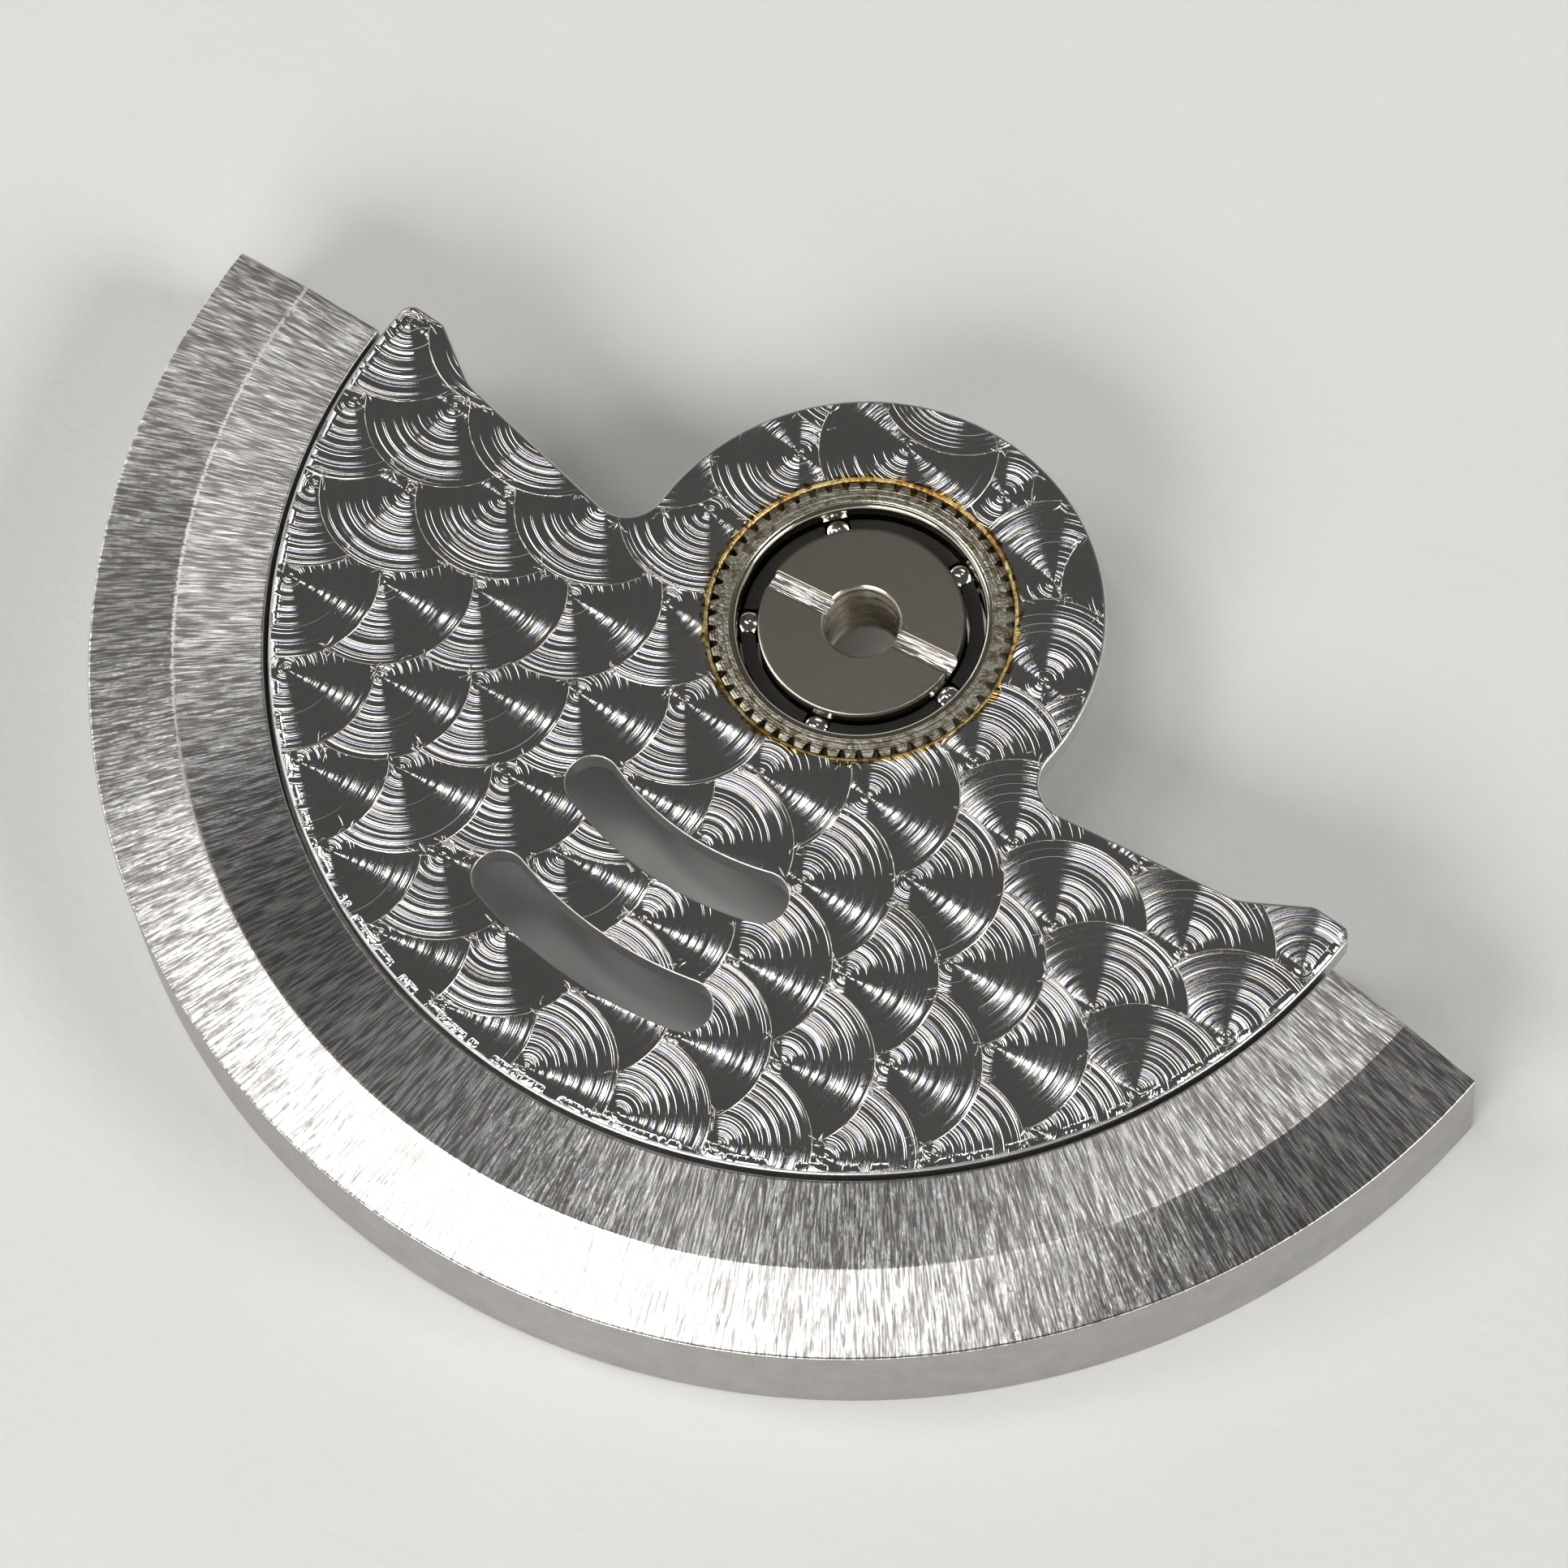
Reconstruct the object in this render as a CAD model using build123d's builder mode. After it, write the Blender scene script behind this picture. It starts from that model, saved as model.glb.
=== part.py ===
from build123d import *
from math import acos, asin, degrees, radians, tan
import os

# Winding rotor of a self-winding watch, in millimetres.
# The origin lies on the bearing's axis, in the face that the bearing's core stands on. +Z points to
# the decorated face, and the middle of the heavy segment lies along -Y.

# ---- Driving dimensions, radii from the axis outwards ----

# Core of the bearing, which is the fixed inner race
hole_radius = 0.62
hole_chamfer = 0.045
neck_wall = 0.48
neck_chamfer = 0.05
flange_width = 0.62
flange_chamfer = 0.04
driver_slot_width = 0.30
driver_slot_depth = 0.15
driver_slot_angle = 8.05

# Balls, races and cage
ball_count = 5
ball_radius = 0.30
first_ball_angle = -4.1
race_gap = 0.33
groove_clearance = 0.015
cage_clearance = 0.05
pocket_clearance = 0.03
cone_chamfer = 0.27
press_clearance = 0.005

# Toothed outer ring
tooth_count = 54
race_wall = 0.33
tooth_depth = 0.14
shoulder_width = 0.11
notch_root_width = 0.06
notch_flank_angle = 20
lip_chamfer = 0.10
tooth_chamfer = 0.04

# Plate: a hub, two wings that end in horns, and two arc slots
hub_wall = 1.51
plate_radius = 9.78
wing_drop = 1.65
wing_rise_angle = 8.8
horn_reach = 1.83
horn_height = 0.64
horn_flank_angle = 31.2
hub_fillet = 0.65
horn_base_fillet = 0.80
horn_shoulder_fillet = 0.30
horn_corner_fillet = 0.25
bore_chamfer = 0.065
plate_chamfer = 0.05
slot_width = 0.90
slot_radius_shares = (0.25, 0.71)
slot_spans = (39, 30)

# Heavy segment
weight_span = 174.25
plate_gap = 0.08
ledge_reach = 1.03
band_width = 1.50
bevel_width = 1.44
rim_width = 2.50
wall_chamfer = 0.08
wall_edge_break = 0.03

# ---- Driving dimensions, heights ----

race_height = 1.00
flange_thickness = 0.50
cone_stand = 0.20
cage_below_race = 0.45
cage_above_race = 0.25
ring_below_race = 0.55
shoulder_above_race = 0.20
plate_thickness = 0.45
ring_recess = 0.04
rebate_depth = 0.40
bevel_drop = 0.20
ledge_thickness = 0.95
weight_drop = 1.75

overrun = 0.10

# ---- Sizes that follow ----

neck_radius = hole_radius + neck_wall
core_radius = neck_radius + flange_width
core_top = race_height + flange_thickness

ring_bore_radius = core_radius + race_gap
pitch_radius = core_radius + race_gap / 2
groove_radius = ball_radius + groove_clearance
groove_angle = degrees(acos(race_gap / 2 / groove_radius))
root_radius = ring_bore_radius + race_wall
plate_bore_radius = root_radius + tooth_depth
tooth_tip_radius = plate_bore_radius + shoulder_width

plate_bottom = race_height + shoulder_above_race
plate_top = plate_bottom + plate_thickness
ring_bottom = race_height - ring_below_race
ring_top = plate_top - ring_recess

hub_radius = plate_bore_radius + hub_wall
horn_start = plate_radius - horn_reach
horn_base = -wing_drop + horn_start * tan(radians(wing_rise_angle))
horn_top = horn_base + horn_height
shoulder_start = horn_start + horn_height / tan(radians(horn_flank_angle))
horn_tip_angle = degrees(asin(horn_top / plate_radius))

ledge_radius = plate_radius - ledge_reach
rebate_radius = plate_radius + plate_gap
band_radius = rebate_radius + band_width
weight_radius = band_radius + bevel_width
weight_top = plate_bottom + rebate_depth
weight_bottom = plate_bottom - weight_drop

race_centre = (pitch_radius, race_height)
race_plane = Plane.XY.offset(race_height)

os.makedirs("parts", exist_ok=True)

# Heavy segment: a deep rim below, a bevel and a flat band on top, and a ledge that carries the plate
weight_plane = Plane.XZ.rotated((0, 0, -90 - weight_span / 2))
with BuildPart() as rotor_weight:
    with BuildSketch(weight_plane) as weight_section:
        with BuildLine():
            Polyline(
                (weight_radius - rim_width, weight_bottom),
                (weight_radius, weight_bottom),
                (weight_radius, weight_top - bevel_drop),
                (band_radius, weight_top),
                (rebate_radius, weight_top),
                (rebate_radius, plate_bottom),
                (ledge_radius, plate_bottom),
                (ledge_radius, plate_bottom - ledge_thickness),
                (weight_radius - rim_width, plate_bottom - ledge_thickness),
                close=True,
            )
        make_face()
        wall_corners = weight_section.vertices().group_by(Axis.X)[-1].sort_by(Axis.Y)
        chamfer(wall_corners[0], wall_chamfer)
        chamfer(wall_corners[-1], wall_edge_break)
    revolve(axis=Axis.Z, revolution_arc=weight_span)
rotor_weight.part.label = "rotor_weight"
export_step(rotor_weight.part, "parts/rotor_weight.step")

# Plate: one half of the outline is drawn and mirrored, then the hub joins it with a soft corner
with BuildPart() as rotor_plate:
    with BuildSketch(Plane.XY.offset(plate_bottom)) as plate_outline:
        with BuildLine():
            rim = CenterArc((0, 0), plate_radius, -90, 90 + horn_tip_angle)
            Polyline(
                rim @ 1,
                (shoulder_start, horn_top),
                (horn_start, horn_base),
                (0, -wing_drop),
            )
            mirror(about=Plane.YZ)
        make_face()
        horn_corners = plate_outline.vertices().group_by(Axis.Y)
        horn_bases = horn_corners[-2]
        horn_tops = horn_corners[-1].sort_by(Axis.X)
        fillet(horn_bases, horn_base_fillet)
        fillet(horn_tops[1:-1], horn_shoulder_fillet)
        fillet((horn_tops[0], horn_tops[-1]), horn_corner_fillet)
        Circle(hub_radius)
        hub_joints = plate_outline.vertices(Select.LAST).group_by(Axis.Y)[0]
        fillet(hub_joints, hub_fillet)
        Circle(plate_bore_radius, mode=Mode.SUBTRACT)
    extrude(amount=plate_thickness)
    top_rim = rotor_plate.faces().sort_by(Axis.Z)[-1].outer_wire()
    chamfer(top_rim.edges(), plate_chamfer)
    bore_rim = rotor_plate.faces().sort_by(Axis.Z)[-1].inner_wires()[0]
    chamfer(bore_rim.edges(), bore_chamfer)
    with BuildSketch(Plane.XY.offset(plate_bottom)):
        for radius_share, span in zip(slot_radius_shares, slot_spans):
            slot_radius = hub_radius + radius_share * (ledge_radius - hub_radius)
            with BuildLine(mode=Mode.PRIVATE) as slot_path:
                CenterArc((0, 0), slot_radius, -90 - span / 2, span)
            SlotArc(slot_path.wire(), slot_width)
    extrude(amount=plate_thickness, mode=Mode.SUBTRACT)
rotor_plate.part.label = "rotor_plate"
export_step(rotor_plate.part, "parts/rotor_plate.step")

# Outer ring: a blank with one flat for each tooth's tip, smaller where it fits the plate's bore, so
# that the plate rests on the shoulder. The bore with its ball groove is turned, and the notches between
# the teeth run over the full height.
notch_half_root = notch_root_width / 2
notch_depth = tooth_tip_radius - root_radius + overrun
notch_half_mouth = notch_half_root + notch_depth * tan(radians(notch_flank_angle))
with BuildPart() as bearing_outer_ring:
    with BuildSketch(Plane.XY.offset(ring_bottom)):
        RegularPolygon(tooth_tip_radius, tooth_count, major_radius=False)
    extrude(amount=plate_bottom - ring_bottom)
    with BuildSketch(Plane.XY.offset(plate_bottom)):
        RegularPolygon(plate_bore_radius - press_clearance, tooth_count, major_radius=False)
    extrude(amount=ring_top - plate_bottom)
    chamfer(bearing_outer_ring.edges().group_by(Axis.Z)[0], tooth_chamfer)
    chamfer(bearing_outer_ring.edges().group_by(Axis.Z)[-1], tooth_chamfer)
    with BuildSketch(Plane.XZ):
        with BuildLine():
            groove = CenterArc(race_centre, groove_radius, groove_angle, -2 * groove_angle)
            Polyline(
                groove @ 1,
                (ring_bore_radius, ring_bottom + tooth_chamfer),
                (ring_bore_radius + tooth_chamfer, ring_bottom),
                (0, ring_bottom),
                (0, ring_top),
                (ring_bore_radius, ring_top),
                groove @ 0,
            )
        make_face()
    revolve(axis=Axis.Z, mode=Mode.SUBTRACT)
    chamfer(bearing_outer_ring.edges().filter_by(GeomType.CIRCLE).sort_by(Axis.Z)[-1], lip_chamfer)
    with BuildSketch(Plane.XY.offset(ring_bottom)):
        with PolarLocations(root_radius, tooth_count):
            Polygon(
                (0, -notch_half_root),
                (notch_depth, -notch_half_mouth),
                (notch_depth, notch_half_mouth),
                (0, notch_half_root),
                align=None,
            )
    extrude(amount=ring_top - ring_bottom, mode=Mode.SUBTRACT)
bearing_outer_ring.part.label = "bearing_outer_ring"
export_step(bearing_outer_ring.part, "parts/bearing_outer_ring.step")

# Core: the upper half of the inner race, with a neck through the cone, a hole for the thread and a
# driver slot across the top
with BuildPart() as bearing_core:
    with BuildSketch(Plane.XZ) as core_section:
        with BuildLine():
            groove = CenterArc(race_centre, groove_radius, 180, -groove_angle)
            Polyline(
                groove @ 1,
                (core_radius, core_top),
                (hole_radius, core_top),
                (hole_radius, 0),
                (neck_radius, 0),
                (neck_radius, race_height),
                groove @ 0,
            )
        make_face()
        core_corners = core_section.vertices().group_by(Axis.Y)
        chamfer(core_corners[-1].sort_by(Axis.X)[-1], flange_chamfer)
        chamfer(core_corners[-1].sort_by(Axis.X)[0], hole_chamfer)
        chamfer(core_corners[0].sort_by(Axis.X)[-1], neck_chamfer)
    revolve(axis=Axis.Z)
    with BuildSketch(Plane.XY.offset(core_top)):
        Rectangle(2 * core_radius + overrun, driver_slot_width, rotation=driver_slot_angle)
    extrude(amount=-driver_slot_depth, mode=Mode.SUBTRACT)
bearing_core.part.label = "bearing_core"
export_step(bearing_core.part, "parts/bearing_core.step")

# Cone: the lower half of the inner race, pressed on the core's neck against its flange
with BuildPart() as bearing_cone:
    with BuildSketch(Plane.XZ) as cone_section:
        with BuildLine():
            groove = CenterArc(race_centre, groove_radius, 180, groove_angle)
            Polyline(
                groove @ 0,
                (neck_radius + press_clearance, race_height),
                (neck_radius + press_clearance, cone_stand),
                (core_radius, cone_stand),
                groove @ 1,
            )
        make_face()
        chamfer(cone_section.vertices().group_by(Axis.Y)[0].sort_by(Axis.X)[-1], cone_chamfer)
    revolve(axis=Axis.Z)
bearing_cone.part.label = "bearing_cone"
export_step(bearing_cone.part, "parts/bearing_cone.step")

# Cage: a thin crown ring with one radial pocket for each ball. A pocket is open at the top, and its
# mouth is narrower than the ball, so that it snaps over it.
with BuildPart() as ball_cage:
    with BuildSketch(Plane.XY.offset(race_height - cage_below_race)):
        Circle(ring_bore_radius - cage_clearance)
        Circle(core_radius + cage_clearance, mode=Mode.SUBTRACT)
    extrude(amount=cage_below_race + cage_above_race)
    with Locations(race_plane):
        with PolarLocations(pitch_radius, ball_count, first_ball_angle):
            Cylinder(
                ball_radius + pocket_clearance,
                race_gap + overrun,
                rotation=(0, 90, 0),
                mode=Mode.SUBTRACT,
            )
ball_cage.part.label = "ball_cage"
export_step(ball_cage.part, "parts/ball_cage.step")

# Balls: one in each pocket, in the grooves of the outer ring, the core and the cone
ball_places = PolarLocations(pitch_radius, ball_count, first_ball_angle)
for number, place in enumerate(ball_places, start=1):
    with BuildPart(race_plane.location * place) as bearing_ball:
        Sphere(ball_radius)
    bearing_ball.part.label = f"bearing_ball_{number}"
    export_step(bearing_ball.part, f"parts/bearing_ball_{number}.step")
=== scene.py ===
# %% [markdown]
# # The winding rotor of a self-winding watch
#
# A watch that winds itself has a half ring of heavy metal that swings round with every move of the
# wrist. The heavy segment sits on a thin plate, and the plate turns on a ball bearing hardly wider than
# a match. This lesson dresses the rotor's exact CAD solids in Blender: it rebuilds the pieces that the
# eye is drawn to with finer meshes, and gives each metal the finish that its maker gave it.
#
# The CAD model comes in as a fixed frame. Everything that is added is made in the same place and size,
# so nothing is fitted by eye.

# %% Load the frame
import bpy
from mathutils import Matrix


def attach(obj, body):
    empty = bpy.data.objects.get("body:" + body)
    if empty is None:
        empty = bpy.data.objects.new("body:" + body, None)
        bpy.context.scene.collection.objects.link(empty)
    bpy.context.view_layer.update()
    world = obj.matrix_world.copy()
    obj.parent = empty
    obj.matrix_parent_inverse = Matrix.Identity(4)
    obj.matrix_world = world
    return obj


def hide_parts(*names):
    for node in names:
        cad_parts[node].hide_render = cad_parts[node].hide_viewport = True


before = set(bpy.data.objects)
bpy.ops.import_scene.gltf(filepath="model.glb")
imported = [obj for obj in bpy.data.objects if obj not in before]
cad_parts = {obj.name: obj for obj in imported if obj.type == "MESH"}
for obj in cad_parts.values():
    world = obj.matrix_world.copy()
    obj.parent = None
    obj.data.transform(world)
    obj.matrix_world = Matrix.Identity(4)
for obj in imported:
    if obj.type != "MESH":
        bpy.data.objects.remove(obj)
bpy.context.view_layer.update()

from math import acos, asin, atan2, cos, degrees, pi, radians, sin, sqrt, tan
import bpy
import numpy as np
from mathutils import Matrix, Vector
from mathutils.geometry import delaunay_2d_cdt

MM = 0.001
scene = bpy.context.scene
scene.view_settings.view_transform = "Standard"

# %% [markdown]
# ## The camera
#
# The photograph looks down on the rotor at 65 degrees, from its lower right. A long lens keeps the round
# parts from stretching towards the edge. The matrix holds the three directions of the picture, to the
# right, upwards and back to the photographer, side by side.

# %% Camera
picture_right = Vector((0.78875, 0.61158, -0.06197))
picture_up = Vector((-0.53700, 0.73459, 0.41473))
towards_camera = Vector((0.29916, -0.29384, 0.90783))
camera_place = Vector((34.009, -35.717, 102.375)) * MM

camera_data = bpy.data.cameras.new("camera")
camera_data.lens = 157.07
camera_data.sensor_width = 36
camera_data.clip_start = 0.005
camera_data.clip_end = 5
camera = bpy.data.objects.new("camera", camera_data)
turn = Matrix((picture_right, picture_up, towards_camera)).transposed().to_4x4()
camera.matrix_world = Matrix.Translation(camera_place) @ turn
scene.collection.objects.link(camera)
scene.camera = camera
print("Camera height above the seat:", round(camera_place.z * 1000, 1), "mm")

# %% [markdown]
# ## Sizes
#
# These are the rotor's own dimensions in millimetres, the same as the solids have. The height zero is the
# face that the bearing's core stands on, and the table lies 0.55 mm below it.

# %% Sizes in millimetres
TABLE = -0.55
PLATE_BOTTOM, PLATE_TOP, PLATE_RIM = 1.20, 1.65, 9.78
HUB, PLATE_BORE = 4.025, 2.52
WEIGHT_RIM, WEIGHT_BAND, WEIGHT_REBATE, WEIGHT_INSIDE = 12.795, 11.36, 9.86, 10.30
WEIGHT_TOP, WEIGHT_WALL_TOP, LEDGE_RADIUS, LEDGE_BOTTOM = 1.60, 1.40, 8.75, 0.25
WEIGHT_SPAN = 174.25
PLATE_SKIN = PLATE_TOP - 0.010
RACE_HEIGHT, PITCH_RADIUS, GROOVE_RADIUS, BALL_RADIUS = 1.00, 1.885, 0.315, 0.30
CORE_RADIUS, NECK_RADIUS, HOLE_RADIUS, CORE_TOP = 1.72, 1.10, 0.62, 1.50
RING_BORE, RING_ROOT, RING_SEAT, TOOTH_TIP = 2.05, 2.38, 2.515, 2.63
RING_BOTTOM, RING_TOP = 0.45, 1.61
groove_half = acos((RING_BORE - PITCH_RADIUS) / GROOVE_RADIUS)

# %% [markdown]
# ## Helpers for meshes
#
# Nearly every part of a watch is turned, so most meshes here are loops of points: one loop is a closed
# line round the part, and the skin is stretched between neighbouring loops. make_piece turns the points
# into an object, shades it smoothly with sharp creases, and lets it ride on its CAD body.

# %% Mesh helpers
def make_piece(name, points, faces, body, stands_for, crease=28):
    """A mesh object from points in millimetres, which rides on a body and stands for a CAD node."""
    mesh = bpy.data.meshes.new(name)
    mesh.from_pydata((np.asarray(points, float) * MM).tolist(), [], faces)
    mesh.shade_smooth()
    mesh.set_sharp_from_angle(angle=radians(crease))
    piece = bpy.data.objects.new(name, mesh)
    scene.collection.objects.link(piece)
    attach(piece, body)
    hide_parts(stands_for)
    print(f"{name}: {len(mesh.vertices)} points, {len(mesh.polygons)} faces")
    return piece


def skin(rows, columns, first=0, close_rows=False, close_columns=True):
    """Four-sided faces over a grid of points that lie row after row."""
    row_ends = rows if close_rows else rows - 1
    column_ends = columns if close_columns else columns - 1
    i, j = np.meshgrid(np.arange(row_ends), np.arange(column_ends), indexing="ij")
    up, along = (i + 1) % rows, (j + 1) % columns
    corners = (i * columns + j, i * columns + along, up * columns + along, up * columns + j)
    return (first + np.stack(corners, -1).reshape(-1, 4)).tolist()


def point_count(parts):
    """How many points several lists of points hold together."""
    return sum(len(part) for part in parts)


def arc(centre, radius, start, end, steps):
    """Points of an arc, with angles in degrees."""
    angles = np.radians(np.linspace(start, end, steps + 1))
    return np.column_stack((centre[0] + radius * np.cos(angles), centre[1] + radius * np.sin(angles)))


def round_corners(corners, sizes, steps=4, guard=0.02):
    """A closed outline whose corners are rounded off, each with its own radius.

    A guard point on each side of a corner keeps its soft shading off the flat that follows."""
    outline = []
    for before, corner, after, size in zip(np.roll(corners, 1, 0), corners, np.roll(corners, -1, 0), sizes):
        a = (before - corner) / np.linalg.norm(before - corner)
        b = (after - corner) / np.linalg.norm(after - corner)
        half = acos(np.clip(a @ b, -1, 1)) / 2
        middle = corner + (a + b) / np.linalg.norm(a + b) * size / sin(half)
        start = corner + a * size / tan(half) - middle
        end = corner + b * size / tan(half) - middle
        swing = pi - 2 * half
        outline.append(middle + start + a * guard)
        for step in range(steps + 1):
            part = step / steps
            arm = (start * sin((1 - part) * swing) + end * sin(part * swing)) / sin(swing)
            outline.append(middle + arm)
        outline.append(middle + end + b * guard)
    return np.array(outline)


def outward(outline):
    """Unit vectors that point out of a closed outline drawn anticlockwise."""
    along = np.roll(outline, -1, 0) - np.roll(outline, 1, 0)
    along /= np.linalg.norm(along, axis=1)[:, None]
    return np.column_stack((along[:, 1], -along[:, 0]))


def lift(outline, height):
    """Gives flat points a height."""
    return np.column_stack((outline, np.broadcast_to(height, len(outline))))


def swing_round(section, angle):
    """A section of (radius, height) points, turned to an angle in degrees round the axis."""
    angle = radians(angle)
    return np.column_stack((section[:, 0] * cos(angle), section[:, 0] * sin(angle), section[:, 1]))


def inside(points, outline):
    """Which points lie inside a closed outline."""
    x, y = points[:, 0][:, None], points[:, 1][:, None]
    x1, y1 = outline.T
    x2, y2 = np.roll(outline, -1, 0).T
    crosses = (y1 > y) != (y2 > y)
    reach = x1 + (y - y1) * (x2 - x1) / np.where(y2 == y1, 1e-12, y2 - y1)
    return np.sum(crosses & (x < reach), axis=1) % 2 == 1


def stitch(lines, tolerance):
    """Triangles over flat lines, each given with whether it is closed. The lines stay edges."""
    points, edges = [], []
    for line, closed in lines:
        first, count = len(points), len(line)
        points += [Vector(p) for p in line]
        edges += [(first + i, first + (i + 1) % count) for i in range(count if closed else count - 1)]
    made, _, triangles, _, _, _ = delaunay_2d_cdt(points, edges, [], 0, tolerance)
    return np.array([tuple(p) for p in made]), np.array(triangles)


def fill(outlines):
    """A flat skin of triangles inside the first outline and outside the others."""
    made, triangles = stitch([(outline, True) for outline in outlines], 1e-7)
    middles = made[triangles].mean(1)
    keep = inside(middles, outlines[0])
    for hole in outlines[1:]:
        keep &= ~inside(middles, hole)
    return made, triangles[keep]


# %% [markdown]
# ## The heavy segment
#
# The segment is a piece of tungsten alloy, nearly twice as heavy as steel, because a small rotor needs all
# its weight far out. On a lathe it would be a ring with a deep rim, a bevel and a flat band on top, and a
# ledge inside for the plate. It is then sawn into two. The mesh is made in the same way: one section is
# swung round the axis. Its corners are rounded by a few hundredths, and the sawn ends are broken too, since
# a worn edge catches the light that a razor-sharp one misses.

# %% Heavy segment
END_BREAK, END_MIDDLE = 0.03, 11.5

weight_corners = np.array([
    (WEIGHT_INSIDE, TABLE), (WEIGHT_RIM, TABLE), (WEIGHT_RIM, WEIGHT_WALL_TOP), (WEIGHT_BAND, WEIGHT_TOP),
    (WEIGHT_REBATE, WEIGHT_TOP), (WEIGHT_REBATE, PLATE_BOTTOM), (LEDGE_RADIUS, PLATE_BOTTOM),
    (LEDGE_RADIUS, LEDGE_BOTTOM), (WEIGHT_INSIDE, LEDGE_BOTTOM)])
weight_section = round_corners(weight_corners, (0.05, 0.07, 0.035, 0.12, 0.03, 0.04, 0.04, 0.05, 0.10))
section_normals = outward(weight_section)
half_span = WEIGHT_SPAN / 2
loops = []
for slope in np.radians((0, 22.5, 45, 67.5, 90)):
    pulled_in = weight_section - section_normals * END_BREAK * (1 - sin(slope))
    short_of_end = degrees(END_BREAK * (1 - cos(slope)) / END_MIDDLE)
    loops.append((pulled_in, -half_span + short_of_end))
for turned in np.linspace(-half_span, half_span, 241)[1:-1]:
    loops.append((weight_section, turned))
loops += [(pulled_in, -turned) for pulled_in, turned in loops[4::-1]]
weight_points = np.vstack([swing_round(section, -90 + turned) for section, turned in loops])
corner_count = len(weight_section)
weight_faces = [face[::-1] for face in skin(len(loops), corner_count)]
weight_faces.append(list(range(corner_count)))
weight_faces.append(list(range((len(loops) - 1) * corner_count, len(loops) * corner_count))[::-1])
heavy_segment = make_piece("heavy_segment", weight_points, weight_faces, "rotor",
                           "rotor_weight")

# %% [markdown]
# ## The plate's outline
#
# The plate is stamped and milled from thin brass: a round hub, two wings that lie under the segment, and a
# small horn at each wing's end. Every corner is rounded, so the outline is a chain of arcs that meet
# without a kink. Only the arcs are listed. The straight runs are the gaps between them.

# %% Plate outline
RISE = radians(8.8)
FLANK = radians(31.2)
horn_start, horn_reach_height = PLATE_RIM - 1.83, 0.64
horn_base = -1.65 + horn_start * tan(RISE)
horn_top = horn_base + horn_reach_height
shoulder = horn_start + horn_reach_height / tan(FLANK)


def plate_half():
    """The right half of the plate's outline, anticlockwise from the bottom to the top of the hub."""
    tip = 0.25
    tip_centre = (sqrt((PLATE_RIM - tip) ** 2 - (horn_top - tip) ** 2), horn_top - tip)
    tip_angle = degrees(atan2(tip_centre[1], tip_centre[0]))
    soft = 0.30
    bend = (pi - FLANK) / 2
    soft_centre = (shoulder + soft / tan(bend), horn_top - soft)
    deep = 0.80
    between = (FLANK - RISE) / 2
    away = deep * tan(between)
    foot = np.array((horn_start + away * cos(FLANK), horn_base + away * sin(FLANK)))
    deep_centre = foot + deep * np.array((-sin(FLANK), cos(FLANK)))
    neck = 0.65
    along, across = np.array((cos(RISE), sin(RISE))), np.array((-sin(RISE), cos(RISE)))
    start = np.array((0, -1.65)) + neck * across
    b, c = start @ along, start @ start - (HUB + neck) ** 2
    neck_centre = start + (-b + sqrt(b * b - c)) * along
    neck_angle = degrees(atan2(neck_centre[1], neck_centre[0]))
    return np.vstack([
        arc((0, 0), PLATE_RIM, -90, tip_angle, 150),
        arc(tip_centre, tip, tip_angle, 90, 10)[1:],
        arc(soft_centre, soft, 90, 90 + degrees(FLANK), 8),
        arc(deep_centre, deep, degrees(FLANK) - 90, degrees(RISE) - 90, 12),
        arc(neck_centre, neck, degrees(RISE) - 90, neck_angle - 180, 18),
        arc((0, 0), HUB, neck_angle, 90, 60)[1:],
    ])


right_half = plate_half()
left_half = right_half[-2:0:-1] * (-1, 1)
plate_edge = np.vstack([right_half, left_half])


def arc_slot(radius, span, width=0.90):
    """The outline of one arc-shaped opening of the plate."""
    low, high = -90 - span / 2, -90 + span / 2
    ends = [radius * np.array((cos(radians(a)), sin(radians(a)))) for a in (low, high)]
    steps = int(span)
    return np.vstack([
        arc((0, 0), radius + width / 2, low, high, steps),
        arc(ends[1], width / 2, high, high + 180, 24)[1:],
        arc((0, 0), radius - width / 2, high, low, steps)[1:],
        arc(ends[0], width / 2, low + 180, low + 360, 24)[1:-1],
    ])


bore_edge = arc((0, 0), PLATE_BORE, 0, 360, 216)[:-1]
slot_edges = [arc_slot(5.21, 39), arc_slot(7.38, 30)]
print("The plate's outline has", len(plate_edge), "points")

# %% [markdown]
# ## The plate
#
# The top is one skin of triangles between the outer edge, the bore and the two openings. Each edge is
# broken with a small round, which is a few more loops that step in and down. A wall joins the top skin with
# the bottom one.

# %% Plate
RIM_BREAK, BORE_BREAK, SLOT_BREAK = 0.05, 0.065, 0.02


def plate_loops(edge, sign, top_break, bottom_break=0.02, guard=0.02):
    """Loops down the side of the plate. sign is 1 for an outer edge and -1 for an opening."""
    normals = outward(edge)
    loops = []
    for slope in np.radians((90, 60, 30, 0)):
        pull = top_break * (1 - cos(slope))
        loops.append(lift(edge - sign * normals * pull, PLATE_SKIN - top_break * (1 - sin(slope))))
    loops.append(lift(edge, PLATE_SKIN - top_break - guard))
    loops.append(lift(edge, PLATE_BOTTOM + bottom_break + guard))
    loops.append(lift(edge, PLATE_BOTTOM + bottom_break))
    loops.append(lift(edge - sign * normals * bottom_break, PLATE_BOTTOM))
    return loops


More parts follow.
